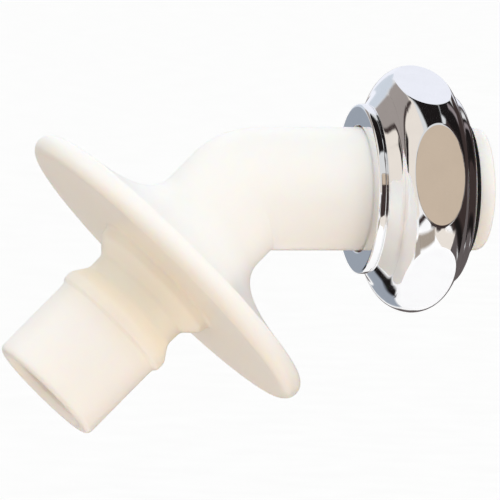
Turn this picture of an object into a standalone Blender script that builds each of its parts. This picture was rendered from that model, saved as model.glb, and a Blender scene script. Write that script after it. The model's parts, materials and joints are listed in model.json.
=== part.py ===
"""Elbow hose nipple with a union nut.

A one-piece plastic elbow carries a stop flange and a beaded hose spigot. A loose chrome nut
slides and turns on its inlet pipe and draws a rubber packing against a faucet.

Frame: metres. The origin is on the inlet axis, in the plane of the packing's sealing face.
+X runs out of the inlet towards the faucet, +Z is up, and the elbow bends in the XZ plane.
"""

from math import cos, pi, radians, sin, tan

import bmesh
import bpy
from mathutils import Vector

MM = 0.001

# Driving dimensions, in millimetres.
PIPE_OD = 16.0  # inlet pipe and spigot: the size that a push-on hose coupler grips
WATERWAY = 11.4  # bore of both arms
FLANGE_OD = 46.8
NUT_OD = 32.3
NUT_FLATS = 29.3  # across the six flats
NUT_LENGTH = 13.3
SHOULDER = 2.45  # the nut's inner shoulder, from its front face
THREAD_MAJOR = 22.0
THREAD_PITCH = 1.25
PACKING_OD = 18.4
PACKING_LENGTH = 2.8
RETAINER_OD = 18.8
RETAINER_THICKNESS = 1.0
WASHER_OD = 20.0
WASHER_THICKNESS = 0.8
FIT_GAP = 0.3  # between pieces that touch, or slide on each other

# The bend, in degrees and millimetres.
BEND = 45.0
BEND_PIVOT = 3.5  # how far the pivot of the outer bend lies below the pipe's axis

# Places along the inlet axis, in millimetres from the sealing plane.
VERTEX_X = -29.3  # where the axes of the two arms meet
TAIL_END_X = 2.4
NUT_REAR_X = -0.95  # the nut is drawn back, as it hangs before it is screwed on

# Places along the outlet axis, in millimetres from the vertex.
FLANGE_UNDERSIDE = 16.0
TIP_END = 37.3

# The nut's rest angle: how far one flat's normal is turned up from -Y, in degrees.
FLAT_ANGLE = 10.5

# Mesh density.
PIPE_SIDES = 40
NUT_SIDES = 48
RING_SIDES = 36
BEND_STEPS = 5

# Worked out from the above.
PIPE_R = PIPE_OD / 2
BORE_R = WATERWAY / 2
FLANGE_R = FLANGE_OD / 2
NUT_R = NUT_OD / 2
THREAD_R = THREAD_MAJOR / 2
THREAD_DEPTH = 0.54 * THREAD_PITCH
NUT_BORE_R = PIPE_R + FIT_GAP
NUT_FRONT_X = NUT_REAR_X - NUT_LENGTH
SHOULDER_X = NUT_FRONT_X + SHOULDER
HALF_BEND = radians(BEND) / 2
OUTLET_DIR = Vector((-cos(2 * HALF_BEND), 0, -sin(2 * HALF_BEND)))
OUTLET_TOP = Vector((-sin(2 * HALF_BEND), 0, cos(2 * HALF_BEND)))
VERTEX = Vector((VERTEX_X, 0, 0))
PIVOT = VERTEX + Vector((BEND_PIVOT * tan(HALF_BEND), 0, -BEND_PIVOT))
STRAIGHT_START = PIPE_R * tan(HALF_BEND) + 0.5  # just clear of the sharp inner corner

# The retaining ring's groove in the tail, in front of the packing.
GROOVE_R = PIPE_R - 0.8
GROOVE_REAR_X = -PACKING_LENGTH - FIT_GAP
GROOVE_FRONT_X = GROOVE_REAR_X - RETAINER_THICKNESS - 2 * FIT_GAP


def clear_scene():
    for obj in list(bpy.data.objects):
        bpy.data.objects.remove(obj, do_unlink=True)


def material(name, color, roughness, metallic=0.0):
    made = bpy.data.materials.new(name)
    made.use_nodes = True
    shader = made.node_tree.nodes["Principled BSDF"]
    shader.inputs["Base Color"].default_value = (*color, 1)
    shader.inputs["Roughness"].default_value = roughness
    shader.inputs["Metallic"].default_value = metallic
    made.diffuse_color = (*color, 1)
    return made


def arc(centre, radius, start, end, steps=3):
    """Points (along, out) round a centre. Angles are in degrees, from out towards along."""
    turns = [radians(start + (end - start) * i / steps) for i in range(steps + 1)]
    return [(centre[0] + radius * sin(t), centre[1] + radius * cos(t)) for t in turns]


def around(sides):
    return [2 * pi * i / sides for i in range(sides)]


def inlet_ring(x, radius, sides=PIPE_SIDES):
    return [Vector((x, radius * sin(t), radius * cos(t))) for t in around(sides)]


def outlet_ring(along, radius):
    centre = VERTEX + along * OUTLET_DIR
    side = Vector((0, 1, 0))
    return [
        centre + radius * (cos(t) * OUTLET_TOP + sin(t) * side) for t in around(PIPE_SIDES)
    ]


def bend_ring(turn, radius):
    """A ring of the bend. Its outer side swings about the pivot, and its inner side stays on
    the plane where the two straight arms meet in a sharp corner."""
    points = []
    for t in around(PIPE_SIDES):
        reach = BEND_PIVOT + radius * cos(t)
        if reach > 0:
            offset = Vector((-reach * sin(turn), 0, reach * cos(turn)))
        else:
            offset = Vector((-reach * tan(HALF_BEND), 0, reach))
        points.append(PIVOT + offset + Vector((0, radius * sin(t), 0)))
    return points


def bend(radius):
    """Rings from the inlet arm round to the outlet arm."""
    return [bend_ring(2 * HALF_BEND * i / BEND_STEPS, radius) for i in range(BEND_STEPS + 1)]


def object_of(name, shape, look):
    bmesh.ops.remove_doubles(shape, verts=shape.verts, dist=0.001 * MM)
    bmesh.ops.recalc_face_normals(shape, faces=shape.faces)
    mesh = bpy.data.meshes.new(name)
    shape.to_mesh(mesh)
    shape.free()
    mesh.shade_smooth()
    mesh.set_sharp_from_angle(angle=radians(35))
    if look:
        mesh.materials.append(look)
    obj = bpy.data.objects.new(name, mesh)
    bpy.context.scene.collection.objects.link(obj)
    return obj


def lofted(name, rings, look, closed=True):
    """A solid skinned over rings of equal count. A closed one joins its last ring to its first,
    and an open one has both end rings filled."""
    shape = bmesh.new()
    rows = [[shape.verts.new(point * MM) for point in ring] for ring in rings]
    pairs = list(zip(rows, rows[1:]))
    if closed:
        pairs.append((rows[-1], rows[0]))
    else:
        shape.faces.new(rows[0])
        shape.faces.new(rows[-1])
    for row, after in pairs:
        for i, vertex in enumerate(row):
            beside = (i + 1) % len(row)
            shape.faces.new((vertex, row[beside], after[beside], after[i]))
    return object_of(name, shape, look)


def turned(name, profile, look):
    """A ring turned about the X axis from a closed outline of (x, radius) points."""
    rings = [inlet_ring(x, r, RING_SIDES) for x, r in profile]
    return lofted(name, rings, look)


def place(obj, x, parent=None):
    """Slides a piece along the inlet axis, where its joints' axes lie."""
    obj.location.x = x * MM
    obj.parent = parent
    return obj


def tail_outline():
    """Outside of the inlet arm from the tail's mouth to the bend, as (x, radius)."""
    edge = 1.0
    mouth = [(TAIL_END_X, BORE_R + 0.4)]
    rounded = arc((TAIL_END_X - edge, PIPE_R - edge), edge, 90, 0)
    groove = [
        (GROOVE_REAR_X, PIPE_R),
        (GROOVE_REAR_X, GROOVE_R),
        (GROOVE_FRONT_X, GROOVE_R),
        (GROOVE_FRONT_X, PIPE_R),
    ]
    return mouth + rounded + groove + [(VERTEX_X + STRAIGHT_START, PIPE_R)]


def bezier(start, leave, arrive, end, steps):
    """Points on a cubic curve between two ends, each with the handle it leaves or arrives by."""
    points = []
    for i in range(steps + 1):
        t = i / steps
        weights = ((1 - t) ** 3, 3 * t * (1 - t) ** 2, 3 * t ** 2 * (1 - t), t ** 3)
        ends = (start, leave, arrive, end)
        points.append(tuple(sum(w * p[k] for w, p in zip(weights, ends)) for k in (0, 1)))
    return points


def outlet_outline():
    """Outside of the outlet arm from the bend to the spigot's mouth, as (along, radius)."""
    rim = 1.6
    flange = arc((FLANGE_UNDERSIDE - rim, FLANGE_R - rim), rim, -79, 90, 6)
    flare = bezier((5.7, PIPE_R), (9.6, PIPE_R), (11.1, 13.0), flange[0], 8)
    hub = [(FLANGE_UNDERSIDE, 9.8), (16.4, 9.2), (17.4, 9.0), (19.3, 7.2), (19.7, 7.1)]
    bead = [(21.6, 7.1), (23.6, 8.4), (24.0, 8.5), (24.7, 8.4), (25.2, 8.05), (26.0, PIPE_R)]
    edge = 0.7
    mouth = arc((TIP_END - edge, PIPE_R - edge), edge, 0, 90)
    mouth += [(TIP_END, BORE_R + 0.9), (TIP_END - 0.7, BORE_R + 0.2)]
    return [(STRAIGHT_START, PIPE_R)] + flare[:-1] + flange + hub + bead + mouth


def elbow_nipple(look):
    rings = [inlet_ring(x, r) for x, r in tail_outline()]
    rings += bend(PIPE_R)
    rings += [outlet_ring(s, r) for s, r in outlet_outline()]
    rings += [outlet_ring(STRAIGHT_START, BORE_R)]
    rings += bend(BORE_R)[::-1]
    rings += [inlet_ring(VERTEX_X + STRAIGHT_START, BORE_R)]
    rings += [inlet_ring(TAIL_END_X - 0.4, BORE_R)]
    return lofted("elbow_nipple", rings, look)


def packing(look):
    soft = 0.4
    outer, inner = PACKING_OD / 2, PIPE_R + FIT_GAP
    outline = [(-PACKING_LENGTH, inner), (0, inner)]
    outline += arc((-soft, outer - soft), soft, 90, 0)
    outline += arc((-PACKING_LENGTH + soft, outer - soft), soft, 0, -90)
    return turned("packing", outline, look)


def retaining_ring(look):
    """A split ring. Its gap faces down."""
    inner, outer = GROOVE_R + FIT_GAP, RETAINER_OD / 2
    half = RETAINER_THICKNESS / 2
    corners = [(-half, inner), (half, inner), (half, outer), (-half, outer)]
    sweep = radians(345)
    sections = []
    for i in range(RING_SIDES + 1):
        t = sweep * (i / RING_SIDES - 0.5)
        sections.append([Vector((x, r * sin(t), r * cos(t))) for x, r in corners])
    ring = lofted("retaining_ring", sections, look, closed=False)
    return place(ring, (GROOVE_FRONT_X + GROOVE_REAR_X) / 2)


def slip_washer(look, parent):
    """It lies against the nut's shoulder and travels with the nut."""
    inner, outer = NUT_BORE_R, WASHER_OD / 2
    outline = [(0, inner), (WASHER_THICKNESS, inner), (WASHER_THICKNESS, outer), (0, outer)]
    return place(turned("slip_washer", outline, look), SHOULDER_X + FIT_GAP, parent)


def thread_radius(along, turn):
    """The wall of the right-hand female thread. Its ridge fades out over one turn at both ends."""
    start, end = SHOULDER + 0.8, NUT_LENGTH - 0.6
    fade = min((along - start) / THREAD_PITCH, (end - along) / THREAD_PITCH, 1)
    ridge = 0.5 + 0.5 * cos(2 * pi * along / THREAD_PITCH + turn)
    return THREAD_R - THREAD_DEPTH * max(fade, 0) * ridge


def nut_outline():
    """Outside of the nut from its front hole to its rear mouth, as (from the front, radius)."""
    band = 4.6
    face = [(0.5, NUT_BORE_R), (0, NUT_BORE_R + 0.5)]
    collar = arc((0.45, 10.6), 0.45, -90, 0) + [(1.0, 11.05), (1.3, 10.8)]
    ring = arc((7.2, NUT_R - band), band, -74, 68, 12)
    rim = [(11.9, 12.5)] + arc((NUT_LENGTH - 1.1, 11.4), 1.1, 0, 90)
    return face + collar + ring + rim + [(NUT_LENGTH, THREAD_R + 0.2)]


def coupling_nut(look, parent):
    thread_rows = 28
    rings = [inlet_ring(x, r, NUT_SIDES) for x, r in nut_outline()]
    start, end = SHOULDER, NUT_LENGTH - 0.2
    for i in range(thread_rows + 1):
        along = end + (start - end) * i / thread_rows
        rings.append(
            [
                Vector((along, thread_radius(along, t) * sin(t), thread_radius(along, t) * cos(t)))
                for t in around(NUT_SIDES)
            ]
        )
    rings.append(inlet_ring(SHOULDER, NUT_BORE_R, NUT_SIDES))
    nut = place(lofted("coupling_nut", rings, look), NUT_FRONT_X, parent)
    flats = nut.modifiers.new("six flats", "BOOLEAN")
    flats.operation = "INTERSECT"
    flats.object = flat_cutter(nut)
    return nut


def flat_cutter(nut):
    """The hexagonal bar that the nut's six flats are cut from."""
    corner = NUT_FLATS / 2 / cos(pi / 6)
    ends = (-1.0, NUT_LENGTH + 1.0)
    turns = [radians(FLAT_ANGLE + 30 + 60 * i) for i in range(6)]
    rings = [[Vector((x, -corner * cos(t), corner * sin(t))) for t in turns] for x in ends]
    bar = lofted("six_flats_cutter", rings, None, closed=False)
    bar.parent = nut
    bar.hide_render = True
    bar.display_type = "WIRE"
    return bar


def build():
    clear_scene()
    plastic = material("ivory_plastic", (0.88, 0.84, 0.76), 0.3)
    chrome = material("chrome_plate", (0.8, 0.8, 0.8), 0.08, 1.0)
    rubber = material("black_rubber", (0.02, 0.02, 0.02), 0.7)
    brass = material("spring_brass", (0.7, 0.5, 0.2), 0.35, 1.0)
    nylon = material("white_nylon", (0.8, 0.8, 0.78), 0.5)
    carriage = bpy.data.objects.new("nut_carriage", None)
    bpy.context.scene.collection.objects.link(carriage)
    elbow_nipple(plastic)
    packing(rubber)
    retaining_ring(brass)
    slip_washer(nylon, carriage)
    coupling_nut(chrome, carriage)


build()
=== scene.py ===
"""Looks of the elbow hose nipple with a union nut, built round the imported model.

Outlines are in millimetres and become metres when a mesh is made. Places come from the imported
model's boxes and mounts. The outlines repeat its design with the roundings, the fine thread and
the moulding details that it leaves out.
"""

import json
from functools import partial
from math import acos, cos, degrees, hypot, pi, radians, sin, tan

import bmesh
import bpy
from mathutils import Matrix, Vector


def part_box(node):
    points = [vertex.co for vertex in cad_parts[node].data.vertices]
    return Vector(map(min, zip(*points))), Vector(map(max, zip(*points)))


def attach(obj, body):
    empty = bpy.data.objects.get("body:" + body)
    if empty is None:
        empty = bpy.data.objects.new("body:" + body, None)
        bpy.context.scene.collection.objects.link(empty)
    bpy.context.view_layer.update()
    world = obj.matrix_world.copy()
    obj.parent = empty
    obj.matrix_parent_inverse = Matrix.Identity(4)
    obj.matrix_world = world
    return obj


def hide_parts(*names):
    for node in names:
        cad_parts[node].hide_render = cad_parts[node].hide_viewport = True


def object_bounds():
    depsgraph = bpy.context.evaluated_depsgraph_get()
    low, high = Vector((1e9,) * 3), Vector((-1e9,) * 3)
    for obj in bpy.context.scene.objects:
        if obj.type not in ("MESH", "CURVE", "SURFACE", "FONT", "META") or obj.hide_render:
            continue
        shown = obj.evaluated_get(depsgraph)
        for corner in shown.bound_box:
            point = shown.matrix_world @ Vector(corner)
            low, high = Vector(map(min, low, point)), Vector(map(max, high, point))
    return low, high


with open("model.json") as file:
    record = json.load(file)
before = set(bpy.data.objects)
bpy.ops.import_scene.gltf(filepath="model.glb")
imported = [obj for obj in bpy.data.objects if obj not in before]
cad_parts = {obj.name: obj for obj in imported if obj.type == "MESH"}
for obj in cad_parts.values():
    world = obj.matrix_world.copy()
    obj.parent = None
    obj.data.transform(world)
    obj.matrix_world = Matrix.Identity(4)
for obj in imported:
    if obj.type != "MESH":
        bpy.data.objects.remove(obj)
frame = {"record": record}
cad_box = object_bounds()

MM = 0.001


def cad(node):
    """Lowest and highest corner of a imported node, in millimetres."""
    low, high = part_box(node)
    return low / MM, high / MM


def mount(name):
    """Place, in millimetres, and direction of a mount."""
    found = next(m for m in frame["record"]["mounts"] if m["name"] == name)
    return Vector(found["pos_m"]) / MM, Vector(found["axis"])


# The elbow's two arms. The inlet lies on the X axis, and the outlet leaves the bend's vertex.
BODY_HIGH = cad("elbow_nipple")[1]
TAIL_END_X = BODY_HIGH.x
PIPE_R = BODY_HIGH.z
FLANGE_R = BODY_HIGH.y
BORE_R = 5.7  # of the waterway, in both arms
VERTEX = Vector((-29.3, 0, 0))
UNDERSIDE, OUTLET_DIR = mount("flange_underside")
FLANGE_UNDERSIDE = (UNDERSIDE - VERTEX).dot(OUTLET_DIR)
TIP_END = (mount("spigot_tip")[0] - VERTEX).dot(OUTLET_DIR)
OUTLET_TOP = Vector((OUTLET_DIR.z, 0, -OUTLET_DIR.x))
BEND = acos(-OUTLET_DIR.x)
BEND_PIVOT = 3.5  # how far the pivot of the outer bend lies below the pipe's axis
PIVOT = VERTEX + Vector((BEND_PIVOT * tan(BEND / 2), 0, -BEND_PIVOT))
INNER_CORNER = 0.5  # rounding of the bend's inner corner
CORNER_DEPTH = 1.5  # that rounding is whole from this far below the pivot
STRAIGHT_START = PIPE_R * tan(BEND / 2) + 0.5  # where each arm begins, from the vertex
SEAM_RIDGE = 0.035  # height of the mould's parting line

# The loose pieces on the inlet arm.
NUT_FRONT_X = cad("coupling_nut")[0].x
NUT_LENGTH = cad("coupling_nut")[1].x - NUT_FRONT_X
NUT_R = 16.1  # of the grip ring, at its crown
NUT_BORE_R = 8.25  # of the front hole
FLAT_REACH = 29.3 / 2  # from the nut's axis to a flat
FLAT_ANGLE = 10.5  # one flat's normal is turned up this far from -Y, in degrees
FLATS = 6
EDGE_SOFTNESS = 0.09  # how much the flats' edges are eased
THREAD_R = 11.0  # at the thread's root
THREAD_PITCH = 1.25
THREAD_DEPTH = 0.54 * THREAD_PITCH
THREAD_MOUTH = NUT_LENGTH - 0.6  # where the thread's wall ends, from the nut's front face
SHOULDER = 2.45  # the nut's inner shoulder, from its front face
GROOVE_R = 7.2
GROOVE_SIDE = 0.3  # room beside the retaining ring in its groove

# Mesh density.
PIPE_SIDES = 160
RING_SIDES = 144
BEND_STEPS = 20
SPLIT_RING_STEPS = 120
THREAD_ROWS_PER_TURN = 12
WELD = 0.0005  # points this close become one


# Outlines


def arc_point(centre, radius, angle):
    """The (along, out) point at this angle in degrees, which runs from out towards along."""
    t = radians(angle)
    return (centre[0] + radius * sin(t), centre[1] + radius * cos(t))


def arc(centre, radius, start, end, steps):
    angles = [start + (end - start) * i / steps for i in range(steps + 1)]
    return [arc_point(centre, radius, angle) for angle in angles]


def bezier(start, leave, arrive, end, steps):
    """Points on a cubic curve between two ends, each with the handle it leaves or arrives by."""
    points = []
    for i in range(steps + 1):
        t = i / steps
        weights = ((1 - t) ** 3, 3 * t * (1 - t) ** 2, 3 * t**2 * (1 - t), t**3)
        ends = (start, leave, arrive, end)
        points.append(tuple(sum(w * p[k] for w, p in zip(weights, ends)) for k in (0, 1)))
    return points


def rounded(corners, steps=6):
    """An outline through (along, out, cut) corners. Each corner turns into a curve that starts
    that far before it and ends that far after it."""
    points = []
    for i, (along, out, cut) in enumerate(corners):
        here = Vector((along, out))
        if not cut:
            points.append(tuple(here))
            continue
        before = Vector(corners[i - 1][:2]) - here
        after = Vector(corners[(i + 1) % len(corners)][:2]) - here
        start = here + before.normalized() * cut
        end = here + after.normalized() * cut
        for k in range(steps + 1):
            t = k / steps
            point = start * (1 - t) ** 2 + here * 2 * t * (1 - t) + end * t**2
            points.append(tuple(point))
    return points


def divided(points, length):
    """The same outline, with each longer stretch divided into ones of about this length."""
    made = [points[0]]
    for a, b in zip(points, points[1:]):
        count = max(1, round(hypot(b[0] - a[0], b[1] - a[1]) / length + 0.4))
        for k in range(1, count + 1):
            made.append((a[0] + (b[0] - a[0]) * k / count, a[1] + (b[1] - a[1]) * k / count))
    return made


# Points on rings. An angle round an arm's axis runs from the arm's top towards +Y, in radians.


def around(sides):
    return [2 * pi * i / sides for i in range(sides)]


def on_inlet(x, t, radius):
    return Vector((x, radius * sin(t), radius * cos(t)))


def on_outlet(along, t, radius):
    centre = VERTEX + along * OUTLET_DIR
    side = Vector((0, 1, 0))
    return centre + radius * (cos(t) * OUTLET_TOP + sin(t) * side)


def on_bend(turn, corner, t, radius):
    """A point of the bend. Its outer side swings about the pivot, and its inner side follows the
    corner where the two straight arms meet, rounded by the given radius."""
    reach = BEND_PIVOT + radius * cos(t)
    side = Vector((0, radius * sin(t), 0))
    if reach > 0:
        return PIVOT + side + Vector((-reach * sin(turn), 0, reach * cos(turn)))
    round_off = corner * min(1, -reach / CORNER_DEPTH)
    out = Vector((sin(BEND / 2), 0, -cos(BEND / 2)))
    meeting = Vector((-reach * tan(BEND / 2), 0, reach))
    centre = meeting + out * round_off / cos(BEND / 2)
    return PIVOT + side + centre - round_off * Vector((sin(turn), 0, -cos(turn)))


def inlet_ring(x, radius, turns):
    return [on_inlet(x, t, radius) for t in turns]


# Meshes


def lofted(rings, closed=True):
    """A bmesh skinned over rings of equal count. A closed one joins its last ring to its first,
    and an open one has both end rings filled."""
    shape = bmesh.new()
    rows = [[shape.verts.new(point) for point in ring] for ring in rings]
    pairs = list(zip(rows, rows[1:]))
    if closed:
        pairs.append((rows[-1], rows[0]))
    else:
        shape.faces.new(rows[0])
        shape.faces.new(rows[-1])
    for row, after in pairs:
        for i, vertex in enumerate(row):
            beside = (i + 1) % len(row)
            shape.faces.new((vertex, row[beside], after[beside], after[i]))
    return shape


def mesh_of(name, shape):
    mesh = bpy.data.meshes.new(name)
    shape.to_mesh(mesh)
    shape.free()
    return mesh


def placed(name, data):
    made = bpy.data.objects.new(name, data)
    bpy.context.scene.collection.objects.link(made)
    return made


def piece_of(name, shape, looks, body, replaced, crease=40):
    """A finished piece from a bmesh in millimetres."""
    bmesh.ops.remove_doubles(shape, verts=shape.verts, dist=WELD)
    bmesh.ops.recalc_face_normals(shape, faces=shape.faces)
    bmesh.ops.scale(shape, vec=(MM, MM, MM), verts=shape.verts)
    mesh = mesh_of(name, shape)
    mesh.shade_smooth()
    mesh.set_sharp_from_angle(angle=radians(crease))
    for look in looks:
        mesh.materials.append(look)
    piece = placed(name, mesh)
    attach(piece, body)
    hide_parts(replaced)
    return piece


# The moulded elbow


def seam(t):
    """Height of the parting line, which runs along the top and the bottom of the moulding."""
    return SEAM_RIDGE * max(0, 1 - abs(sin(t)) / sin(2 * pi / PIPE_SIDES))


def seamed_ring(point_at, radius, turns, seamed=True):
    """A ring of the outside, with the parting line's ridge where the moulding shows it."""
    return [point_at(t, radius + seam(t) * seamed) for t in turns]


def tail_outline():
    """Outside of the inlet arm from the tail's mouth to the bend, as (x, radius)."""
    lead_in = 0.5  # chamfer of the tail's mouth
    low, high = cad("retaining_ring")
    groove_rear, groove_front = high.x + GROOVE_SIDE, low.x - GROOVE_SIDE
    corners = [
        (TAIL_END_X - lead_in, BORE_R, 0.15),
        (TAIL_END_X, BORE_R + lead_in, 0.15),
        (TAIL_END_X, PIPE_R, 1.0),
        (groove_rear, PIPE_R, 0.12),
        (groove_rear, GROOVE_R, 0.1),
        (groove_front, GROOVE_R, 0.1),
        (groove_front, PIPE_R, 0.12),
        (VERTEX.x + STRAIGHT_START, PIPE_R, 0),
    ]
    return rounded(corners)


def outlet_outline():
    """The outlet arm from the bend along the outside, round the spigot's mouth and back along the
    waterway, as (along, radius)."""
    rim = 1.6  # radius of the flange's rounded edge
    flange = arc((FLANGE_UNDERSIDE - rim, FLANGE_R - rim), rim, -79, 90, 22)
    flare = bezier((5.7, PIPE_R), (9.6, PIPE_R), (11.1, 13.0), flange[0], 44)
    hub = [(FLANGE_UNDERSIDE, 9.2, 0.7), (17.5, 8.95, 0.35)]
    neck = [(19.3, 7.15, 0.5), (21.6, 7.1, 0.5)]
    bead = [(23.7, 8.5, 0.5), (24.9, 8.45, 0.3), (25.3, 8.05, 0.2)]
    spigot = [(26.2, PIPE_R, 0.3), (TIP_END, PIPE_R, 1.0)]
    mouth = [(TIP_END, BORE_R + 0.7, 0.25), (TIP_END - 0.8, BORE_R, 0.2)]
    below = [(*flange[-1], 0)] + hub + neck + bead + spigot + mouth
    below += [(STRAIGHT_START, BORE_R, 0)]
    return [(STRAIGHT_START, PIPE_R)] + flare[:-1] + flange[:-1] + rounded(below)


def elbow_body(look):
    """The parting line shows on the pipe, the hub, the neck and the spigot. It stops at the
    flange, and at the nut's inner shoulder."""
    turns = around(PIPE_SIDES)
    swing = [BEND * i / BEND_STEPS for i in range(BEND_STEPS + 1)]
    rings = []
    for x, radius in divided(tail_outline(), 0.9):
        before_shoulder = x < NUT_FRONT_X + SHOULDER
        rings.append(seamed_ring(partial(on_inlet, x), radius, turns, before_shoulder))
    for turn in swing:
        rings.append(seamed_ring(partial(on_bend, turn, INNER_CORNER), PIPE_R, turns))
    for along, radius in divided(outlet_outline(), 0.7):
        on_pipe = BORE_R + 1 < radius < PIPE_R + 1
        rings.append(seamed_ring(partial(on_outlet, along), radius, turns, on_pipe))
    for turn in reversed(swing):
        rings.append([on_bend(turn, 0, t, BORE_R) for t in turns])
    rings.append(inlet_ring(VERTEX.x + STRAIGHT_START, BORE_R, turns))
    piece_of("elbow_body", lofted(rings), [look], "nipple", "elbow_nipple")


# The union nut


def flat_turn(index):
    """Angle round the nut's axis of the middle of a flat."""
    return radians(FLAT_ANGLE - 90) + 2 * pi / FLATS * index


def soft_least(a, b, softness):
    """The lesser of two numbers, eased where they are close."""
    near = max(softness - abs(a - b), 0) / softness
    return min(a, b) - near**2 * softness / 4


def flat_half_angle(radius):
    """How far round the axis a flat reaches from its middle, on a ring of this radius. Rings that
    a flat doesn't cut open out to even spacing."""
    least, even = radians(2.5), radians(15)
    opening = 1.2  # the spacing is even from this far inside the flats
    if radius > FLAT_REACH:
        return max(acos(FLAT_REACH / radius), least)
    return least + (even - least) * min((FLAT_REACH - radius) / opening, 1)


def nut_turns(radius):
    """Angles of a ring's points, each with its angle from the middle of its flat. They lie close
    together along each flat's edge, and are mirrored about each flat's middle."""
    step = 0.07  # scale of the spacing at a flat's edge
    within, beyond = 7, 4  # how many stretches lie inside the edge, and on to the corner
    edge = flat_half_angle(radius)
    fine = [k * step / radius for k in (-4, -2.4, -1.2, 0, 1.2, 2.4, 4)]
    half = [(edge + fine[0]) * i / within for i in range(1, within)]
    half += [edge + offset for offset in fine]
    end = half[-1]
    half += [end + (pi / FLATS - end) * i / beyond for i in range(1, beyond + 1)]
    sector = [-t for t in reversed(half[:-1])] + [0] + half
    return [(flat_turn(i) + t, t) for i in range(FLATS) for t in sector]


def nut_ring(along, radius, cut=True):
    """A ring of the nut. The six flats cut it where they are nearer than its radius."""
    ring = []
    for t, from_middle in nut_turns(radius):
        out = soft_least(radius, FLAT_REACH / cos(from_middle), EDGE_SOFTNESS) if cut else radius
        ring.append(on_inlet(NUT_FRONT_X + along, t, out))
    return ring


def nut_skin():
    """Outside of the nut from its front hole to its rear mouth, as (from the front, radius)."""
    collar = 11.05  # radius of the front collar
    rear = NUT_LENGTH - 0.25  # where the rear rim ends
    band = 4.6  # radius of the grip ring's rounded crown
    centre = (7.2, NUT_R - band)
    start, end, steps = -74, 68, 60  # of the crown's arc, in degrees
    cut_turn = degrees(acos((FLAT_REACH - centre[1]) / band))  # where the flats cut the crown
    near = (-2.2, -1.5, -1.0, -0.6, -0.3, 0, 0.3, 0.6, 1.0, 1.5, 2.2)
    turns = [start + (end - start) * i / steps for i in range(steps + 1)]
    turns = [t for t in turns if abs(abs(t) - cut_turn) > near[-1] + 0.3]
    turns += [side * (cut_turn + offset) for side in (-1, 1) for offset in near]
    crown = [arc_point(centre, band, turn) for turn in sorted(turns)]
    front_corners = [
        (0.12, NUT_BORE_R, 0),
        (0.0, NUT_BORE_R + 0.12, 0.05),
        (0.0, collar, 0.42),
        (1.1, collar, 0.3),
        (1.35, 10.85, 0.15),
        (*crown[0], 0.45),
        (*crown[2], 0),
    ]
    rear_corners = [
        (*crown[-1], 0),
        (11.7, 12.7, 0.05),
        (12.6, 12.15, 0.4),
        (rear, 11.35, 0.2),
        (rear, THREAD_R + 0.2, 0.08),
        (THREAD_MOUTH, THREAD_R - 0.2, 0),
    ]
    return rounded(front_corners) + crown[3:-1] + rounded(rear_corners)


def thread_height(along, turn):
    """How far the right-hand female thread's ridge stands in from its root, from 0 to 1. It has
    flat crests, and fades out over one turn at both ends."""
    start, end = SHOULDER + 0.9, NUT_LENGTH - 0.5
    half_base, flank = 7 / 16, 5 / 16  # in pitches
    phase = (along / THREAD_PITCH + turn / (2 * pi)) % 1
    ridge = min(1, max(0, (half_base - abs(phase - 0.5)) / flank))
    fade = min((along - start) / THREAD_PITCH, (end - along) / THREAD_PITCH, 1)
    return ridge * max(fade, 0)


def thread_ring(along):
    ring = []
    for t, _ in nut_turns(THREAD_R):
        out = THREAD_R - THREAD_DEPTH * thread_height(along, t)
        ring.append(on_inlet(NUT_FRONT_X + along, t, out))
    return ring


def union_nut(plating, flat_plating):
    """The six flats have a look of their own."""
    rings = [nut_ring(along, radius) for along, radius in divided(nut_skin(), 0.45)]
    deep = SHOULDER + 0.2
    rows = round((THREAD_MOUTH - deep) / THREAD_PITCH * THREAD_ROWS_PER_TURN)
    for i in range(1, rows + 1):
        rings.append(thread_ring(THREAD_MOUTH + (deep - THREAD_MOUTH) * i / rows))
    rings.append(nut_ring(SHOULDER, THREAD_R - 0.2, cut=False))
    rings.append(nut_ring(SHOULDER, NUT_BORE_R + 0.2, cut=False))
    rings.append(nut_ring(SHOULDER - 0.2, NUT_BORE_R, cut=False))
    shape, looks = lofted(rings), [plating, flat_plating]
    piece = piece_of("union_nut", shape, looks, "nut", "coupling_nut", 50)
    reach, level = (FLAT_REACH - 0.05) * MM, 0.9995  # a face of a flat is past both
    normals = [on_inlet(0, flat_turn(i), 1) for i in range(FLATS)]
    for face in piece.data.polygons:
        nearest = max(normals, key=face.normal.dot)
        on_flat = face.normal.dot(nearest) > level and face.center.dot(nearest) > reach
        face.material_index = int(on_flat)


# The small rings on the tail


def turned_piece(name, corners, look, body, replaced):
    """A ring turned about the X axis from a closed outline of (x, radius, cut) corners."""
    turns = around(RING_SIDES)
    rings = [inlet_ring(x, radius, turns) for x, radius in rounded(corners, 5)]
    piece_of(name, lofted(rings), [look], body, replaced)


def rubber_packing(look):
    """It grips the tail, and its sealing face has a shallow groove between two lips."""
    low, high = cad("packing")
    inner, outer = PIPE_R + 0.02, high.z
    middle, half_groove, groove_depth = (inner + outer) / 2, 0.18, 0.12
    corners = [
        (low.x, inner, 0.1),
        (low.x, outer, 0.4),
        (high.x, outer, 0.4),
        (high.x, middle + half_groove, 0.05),
        (high.x - groove_depth, middle, 0.06),
        (high.x, middle - half_groove, 0.05),
        (high.x, inner, 0.1),
    ]
    turned_piece("rubber_packing", corners, look, "nipple", "packing")


def nylon_washer(look):
    low, high = cad("slip_washer")
    corners = [
        (low.x, NUT_BORE_R, 0.12),
        (low.x, high.z, 0.15),
        (high.x, high.z, 0.15),
        (high.x, NUT_BORE_R, 0.12),
    ]
    turned_piece("nylon_washer", corners, look, "washer", "slip_washer")


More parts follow.
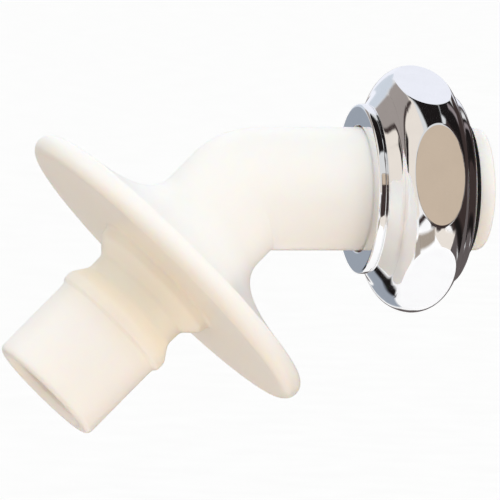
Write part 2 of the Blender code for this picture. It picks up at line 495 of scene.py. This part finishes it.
def split_ring(look):
    """A sprung ring in the tail's groove. Its gap faces down."""
    low, high = cad("retaining_ring")
    inner, outer = GROOVE_R + 0.03, high.z
    corners = [(low.x, inner, 0.12), (low.x, outer, 0.2)]
    corners += [(high.x, outer, 0.2), (high.x, inner, 0.12)]
    section = rounded(corners, 3)
    sweep = radians(345)
    sections = []
    for i in range(SPLIT_RING_STEPS + 1):
        t = sweep * (i / SPLIT_RING_STEPS - 0.5)
        sections.append([on_inlet(x, t, radius) for x, radius in section])
    shape = lofted(sections, closed=False)
    piece_of("split_ring", shape, [look], "nipple", "retaining_ring")


# Shader nodes. Each helper adds its nodes beside the shader that it is given.


def plug(source, target):
    """Feeds a socket from another node's output, or sets it to a value."""
    if isinstance(source, bpy.types.NodeSocket):
        target.id_data.links.new(source, target)
    else:
        target.default_value = source


def set_sockets(node, **sources):
    for socket, source in sources.items():
        plug(source, node.inputs[socket.replace("_", " ")])


def new_material(name, **settings):
    """A material with these values on its Principled shader, and that shader."""
    made = bpy.data.materials.new(name)
    made.use_nodes = True
    shader = made.node_tree.nodes["Principled BSDF"]
    set_sockets(shader, **settings)
    return made, shader


def add(shader, kind, **sources):
    node = shader.id_data.nodes.new(kind)
    set_sockets(node, **sources)
    return node


def maths(shader, kind, operation, *sources):
    """A ShaderNodeMath or ShaderNodeVectorMath node that works on these sources in turn."""
    node = add(shader, kind)
    node.operation = operation
    for source, target in zip(sources, node.inputs):
        plug(source, target)
    return node


def number(shader, operation, *sources):
    return maths(shader, "ShaderNodeMath", operation, *sources).outputs["Value"]


def vector(shader, operation, *sources):
    return maths(shader, "ShaderNodeVectorMath", operation, *sources).outputs["Vector"]


def vector_value(shader, operation, *sources):
    """The number that an operation on vectors gives."""
    return maths(shader, "ShaderNodeVectorMath", operation, *sources).outputs["Value"]


def own_place(shader):
    """Places on the piece itself, in metres."""
    return add(shader, "ShaderNodeTexCoord").outputs["Object"]


def lathe_place(shader, wobble=0.02):
    """Places as (x, distance from the X axis), so that noise on them lies in fine rings. The
    wobble keeps the rings from being perfect."""
    place = own_place(shader)
    split = add(shader, "ShaderNodeSeparateXYZ", Vector=place)
    across = add(shader, "ShaderNodeCombineXYZ", X=split.outputs["Y"], Y=split.outputs["Z"])
    out = vector_value(shader, "LENGTH", across.outputs["Vector"])
    turned = add(shader, "ShaderNodeCombineXYZ", X=split.outputs["X"], Y=out)
    bent = vector(shader, "MULTIPLY", place, (wobble, wobble, wobble))
    return vector(shader, "ADD", turned.outputs["Vector"], bent)


def cloudy(shader, size, detail=3.0, place=None):
    """Noise from 0 to 1 whose blotches are about this many millimetres across."""
    where = place or own_place(shader)
    node = add(shader, "ShaderNodeTexNoise", Vector=where, Scale=1 / (size * MM), Detail=detail)
    return node.outputs["Fac"]


def between(shader, value, low, high, start=0.3, end=0.7):
    """A number that runs from low to high while the value runs from start to end."""
    node = add(shader, "ShaderNodeMapRange", Value=value, To_Min=low, To_Max=high)
    set_sockets(node, From_Min=start, From_Max=end)
    return node.outputs["Result"]


def colour_ramp(shader, value, *stops):
    """The colour for a value, from (value, colour) stops in rising order."""
    ramp = add(shader, "ShaderNodeValToRGB", Fac=value)
    elements = ramp.color_ramp.elements
    for element, (position, colour) in zip(elements, (stops[0], stops[-1])):
        element.position, element.color = position, (*colour, 1)
    for position, colour in stops[1:-1]:
        elements.new(position).color = (*colour, 1)
    return ramp.outputs["Color"]


def colours(shader, value, first, second):
    """One colour where the value is low, and the other where it is high."""
    return colour_ramp(shader, value, (0.35, first), (0.65, second))


def bumps(shader, *layers):
    """Layers of (height, depth in millimetres), the coarsest first."""
    normal = None
    for height, depth in layers:
        node = add(shader, "ShaderNodeBump", Height=height, Distance=depth * MM)
        if normal:
            set_sockets(node, Normal=normal)
        normal = node.outputs["Normal"]
    set_sockets(shader, Normal=normal)


# Materials


def painted_flange_shade(shader):
    """Mask of the painted shade: 1 in the hollow below the flange, less towards the flange's rim,
    and fading to 0 along the spigot."""
    above, whole, fading, gone = 14.4 * MM, 16.0 * MM, 23.0 * MM, 28.0 * MM
    neck, rim, rim_share = 10 * MM, 23 * MM, 0.35
    offset = vector(shader, "SUBTRACT", own_place(shader), VERTEX * MM)
    along = vector_value(shader, "DOT_PRODUCT", offset, OUTLET_DIR)
    across = vector(shader, "CROSS_PRODUCT", offset, OUTLET_DIR)
    out = vector_value(shader, "LENGTH", across)
    begun = between(shader, along, 0, 1, above, whole)
    left = between(shader, along, 1, 0, fading, gone)
    inward = between(shader, out, 1, rim_share, neck, rim)
    return number(shader, "MULTIPLY", number(shader, "MULTIPLY", begun, left), inward)


def ivory_plastic():
    """Glossy and slightly translucent, with faint ripples, and a warm painted shade in the
    flange's hollow.
    """
    # The warm tint of the painted shade below the flange.
    shade_tint = (1.0, 0.953, 0.88, 1)
    made, shader = new_material(
        "ivory_plastic",
        IOR=1.5,
        Specular_IOR_Level=0.32,
        Subsurface_Weight=0.5,
        Subsurface_Radius=(1.0, 0.7, 0.45),
        Subsurface_Scale=2.0 * MM,
    )
    tone = colours(shader, cloudy(shader, 9, 1.0), (0.957, 0.93, 0.89), (0.963, 0.938, 0.903))
    # Painted shade: the base colour is multiplied to a warm tan in the hollow below the flange,
    # where the flange shades it.
    shaded = add(shader, "ShaderNodeMix", Factor=painted_flange_shade(shader))
    shaded.data_type, shaded.blend_type = "RGBA", "MULTIPLY"
    first, second, result = shaded.inputs[6], shaded.inputs[7], shaded.outputs[2]
    plug(tone, first)
    plug(shade_tint, second)
    roughness = between(shader, cloudy(shader, 3, 1.0), 0.3, 0.34)
    set_sockets(shader, Base_Color=result, Roughness=roughness)
    bumps(shader, (cloudy(shader, 6.0, 1.0), 0.008), (cloudy(shader, 2.0, 1.0), 0.0008))
    return made


def chrome(name, roughest, depth):
    """Plating with fine turned rings, this many millimetres deep, slow waves and some haze."""
    made, shader = new_material(name, Metallic=1.0)
    tone = colours(shader, cloudy(shader, 2.5), (0.86, 0.86, 0.87), (0.88, 0.88, 0.89))
    rings = cloudy(shader, 0.06, place=lathe_place(shader))
    hazy_rings = number(shader, "MULTIPLY", rings, cloudy(shader, 1.2))
    roughness = between(shader, hazy_rings, 0.03, roughest, 0.1, 0.4)
    set_sockets(shader, Base_Color=tone, Roughness=roughness)
    waves, wave_depth = cloudy(shader, 1.5), 6 * depth
    bumps(shader, (waves, wave_depth), (rings, depth))
    return made


def black_rubber():
    made, shader = new_material("black_rubber", Specular_IOR_Level=0.2)
    tone = colours(shader, cloudy(shader, 0.8), (0.004, 0.004, 0.004), (0.012, 0.011, 0.01))
    roughness = between(shader, cloudy(shader, 0.5), 0.5, 0.8)
    set_sockets(shader, Base_Color=tone, Roughness=roughness)
    bumps(shader, (cloudy(shader, 0.9), 0.03), (cloudy(shader, 0.12), 0.008))
    return made


def spring_brass():
    """Brass with the fine lines that drawing leaves along it."""
    made, shader = new_material("spring_brass", Metallic=1.0)
    tone = colours(shader, cloudy(shader, 1.0), (0.62, 0.43, 0.16), (0.74, 0.55, 0.26))
    drawn = cloudy(shader, 0.05, place=lathe_place(shader))
    set_sockets(shader, Base_Color=tone, Roughness=between(shader, drawn, 0.22, 0.42))
    bumps(shader, (drawn, 0.004))
    return made


def white_nylon():
    made, shader = new_material("white_nylon", Subsurface_Weight=0.2, Subsurface_Scale=MM)
    tone = colours(shader, cloudy(shader, 1.5), (0.74, 0.74, 0.71), (0.82, 0.82, 0.8))
    roughness = between(shader, cloudy(shader, 0.6), 0.4, 0.6)
    set_sockets(shader, Base_Color=tone, Roughness=roughness)
    bumps(shader, (cloudy(shader, 0.2), 0.004))
    return made


# The studio, in metres. Directions are (azimuth, elevation) in degrees from the object's middle,
# as the camera's are: azimuth 0 is in front, towards -Y, and 90 is to the right, towards +X.

MIDDLE = (cad_box[0] + cad_box[1]) / 2
LIGHT_DISTANCE = 0.9


def direction(azimuth, elevation):
    a, e = radians(azimuth), radians(elevation)
    return Vector((sin(a) * cos(e), -cos(a) * cos(e), sin(e)))


def facing_middle(azimuth, elevation, distance):
    """A matrix for something in that direction, turned towards the object's middle."""
    back = direction(azimuth, elevation)
    turn = (-back).to_track_quat("-Z", "Y").to_matrix().to_4x4()
    return Matrix.Translation(MIDDLE + back * distance) @ turn


def flat_sheet(name, half_width, half_height, look):
    """A rectangle of the studio, which takes no part in the soft light on the object."""
    shape = bmesh.new()
    bmesh.ops.create_grid(shape, x_segments=1, y_segments=1, size=1)
    bmesh.ops.scale(shape, vec=(half_width, half_height, 1), verts=shape.verts)
    plane = placed(name, mesh_of(name, shape))
    plane.data.materials.append(look)
    plane.visible_diffuse = False
    return plane


def floor():
    """A plain pale floor, far enough below the object for no shadow to show beside it."""
    drop, reach = 0.45, 15.0
    made, shader = new_material(
        "floor_paint", Roughness=0.9, Specular_IOR_Level=0.0, Emission_Strength=0.26
    )
    tone = colours(shader, cloudy(shader, 40), (0.94, 0.93, 0.925), (0.96, 0.95, 0.945))
    set_sockets(shader, Base_Color=tone, Emission_Color=tone)
    plane = flat_sheet("floor", reach, reach, made)
    plane.location = (MIDDLE.x, MIDDLE.y, cad_box[0].z - drop)


def card_look(name, half, fade, colour):
    """Plain light of one colour that fades out to clear at the card's edges."""
    made, shader = new_material(
        name,
        Base_Color=(0, 0, 0, 1),
        Specular_IOR_Level=0.0,
        Emission_Color=(*colour, 1),
        Emission_Strength=1.0,
    )
    split = add(shader, "ShaderNodeSeparateXYZ", Vector=own_place(shader))
    shown = []
    for place, reach in zip(split.outputs, half):
        off_middle = number(shader, "ABSOLUTE", place)
        shown.append(between(shader, off_middle, 1, 0, reach - fade, reach))
    mix = add(shader, "ShaderNodeMixShader", Fac=number(shader, "MULTIPLY", *shown))
    plug(add(shader, "ShaderNodeBsdfTransparent").outputs["BSDF"], mix.inputs[1])
    plug(shader.outputs["BSDF"], mix.inputs[2])
    plug(mix.outputs["Shader"], made.node_tree.nodes["Material Output"].inputs["Surface"])
    return made


def card(name, azimuth, elevation, width, height, colour, tilt=0, softness=4.0):
    """A studio card that only the gloss shows. Its width, height, tilt and the softness of its
    edges are angles in degrees, as seen from the object."""
    distance = 0.5 + 0.002 * max(width, height)  # a smaller card hangs before a larger one
    fade = distance * tan(radians(min(softness, width / 2, height / 2)))
    half = [distance * tan(radians(angle / 2)) + fade / 2 for angle in (width, height)]
    plane = flat_sheet(name, *half, card_look(name, half, fade, colour))
    place = facing_middle(azimuth, elevation, distance)
    plane.matrix_world = place @ Matrix.Rotation(radians(tilt), 4, "Z")
    plane.visible_camera = False
    plane.visible_shadow = False


def cards():
    """What the chrome and the plastic's gloss show: walls, dark gaps between them and a few lines.
    A direction that no card covers shows the soft light from all round."""
    dark = (0.012, 0.01, 0.01)
    dim = (0.05, 0.035, 0.033)
    grey = (0.13, 0.11, 0.11)
    card("beige_card", 16, 16.5, 15, 14, (0.635, 0.517, 0.40), softness=1.0)
    card("front_gap", 16, -6, 30, 58, dim)
    card("right_front_gap", 78, 12, 84, 80, dim)
    card("right_low_gap", 92, -20, 60, 9, dark)
    card("low_right_gap", 110, -44, 76, 36, grey)
    card("low_front_wall", 38, -41, 76, 22, (0.92, 0.85, 0.77))
    card("left_wall", -92, 20, 70, 80, (0.9, 0.83, 0.75))
    card("left_edge", -119, 30, 5, 48, dim)
    card("left_spot", -110, 12, 10, 24, dark, softness=3.0)
    card("ceiling_gap", 14, 87, 46, 68, dark)
    card("right_gap", 103, 38, 34, 56, dark)
    card("right_glow", 114, 32, 5, 24, (0.3, 0.26, 0.27), tilt=20)
    card("right_back_gap", 144, -10, 54, 40, grey)
    card("right_back_edge", 127, 14, 26, 26, dim)
    card("front_left_line", -45, -20, 34, 6, dim, tilt=12)
    card("brown_patch", -35, -42, 50, 15, (0.42, 0.36, 0.3))
    card("low_line", 62, -61, 90, 14, dim)
    card("front_low_gap", -8, -17, 20, 28, dim)
    card("brown_edge", -68, -44, 16, 18, (0.44, 0.39, 0.34))
    card("back_left_grey", -138, 30, 36, 44, (0.37, 0.33, 0.31))
    card("back_streak_low", -155, -22, 11, 30, dark)
    card("back_wall", 165, 28, 50, 50, (0.93, 0.95, 1.03))
    card("back_left_wall", -168, 14, 20, 24, (0.66, 0.72, 0.8))
    card("back_wall_low", -170, -16, 24, 38, (0.34, 0.38, 0.44))


def area_light(name, azimuth, elevation, size, power, colour):
    """A square softbox that neither the camera nor the gloss shows."""
    data = bpy.data.lights.new(name, "AREA")
    data.shape = "SQUARE"
    data.size = size
    data.energy = power
    data.color = colour
    light = placed(name, data)
    light.matrix_world = facing_middle(azimuth, elevation, LIGHT_DISTANCE)
    light.visible_camera = False
    light.visible_glossy = False


def studio_world():
    """Soft light from all round, white above, warmer and dimmer below. The camera sees it as
    plain white."""
    world = bpy.data.worlds.new("studio")
    world.use_nodes = True
    bpy.context.scene.world = world
    light = world.node_tree.nodes["Background"]
    place = add(light, "ShaderNodeTexCoord").outputs["Generated"]
    split = add(light, "ShaderNodeSeparateXYZ", Vector=place)
    tone = colour_ramp(
        light,
        between(light, split.outputs["Z"], 0, 1, -1, 1),
        (0.0, (0.76, 0.62, 0.5)),
        (0.35, (0.8, 0.67, 0.55)),
        (0.5, (0.9, 0.84, 0.78)),
        (0.65, (0.87, 0.87, 0.87)),
        (1.0, (0.84, 0.87, 0.88)),
    )
    set_sockets(light, Color=tone, Strength=0.9)
    plain = add(light, "ShaderNodeBackground", Color=(1, 1, 1, 1), Strength=1.0)
    seen = add(light, "ShaderNodeLightPath").outputs["Is Camera Ray"]
    mix = add(light, "ShaderNodeMixShader", Fac=seen)
    plug(light.outputs["Background"], mix.inputs[1])
    plug(plain.outputs["Background"], mix.inputs[2])
    plug(mix.outputs["Shader"], world.node_tree.nodes["World Output"].inputs["Surface"])


def studio():
    floor()
    studio_world()
    area_light("key", -15, 56, 0.6, 2.7, (0.985, 0.99, 1.0))
    area_light("fill", 52, -38, 0.8, 5.4, (0.97, 0.98, 1.0))
    area_light("low_left_fill", -76, -44, 0.6, 3.1, (1.0, 0.95, 0.9))
    cards()


def camera():
    """The camera looks from the left and a little above, rolled slightly clockwise."""
    azimuth, elevation, roll, distance = -14.3, 3.8, 1.0, 1.2
    focal_length = 667.0
    aim_right, aim_down = 0.000648, 0.007966  # from the bend's vertex, in the picture's plane
    back = direction(azimuth, elevation)
    right = Vector((cos(radians(azimuth)), sin(radians(azimuth)), 0))
    up = back.cross(right)
    r = radians(roll)
    right, up = right * cos(r) + up * sin(r), up * cos(r) - right * sin(r)
    place = VERTEX * MM + right * aim_right - up * aim_down + back * distance
    data = bpy.data.cameras.new("camera")
    data.lens = focal_length
    data.clip_start, data.clip_end = 0.01, 60
    made = placed("camera", data)
    rows = [(right[i], up[i], back[i], place[i]) for i in range(3)]
    made.matrix_world = Matrix(rows + [(0, 0, 0, 1)])
    bpy.context.scene.camera = made


def build():
    camera()
    studio()
    elbow_body(ivory_plastic())
    union_nut(chrome("chrome_plate", 0.09, 0.0004), chrome("chrome_flats", 0.11, 0.0005))
    rubber_packing(black_rubber())
    split_ring(spring_brass())
    nylon_washer(white_nylon())
    bpy.context.scene.view_settings.view_transform = "Standard"


build()
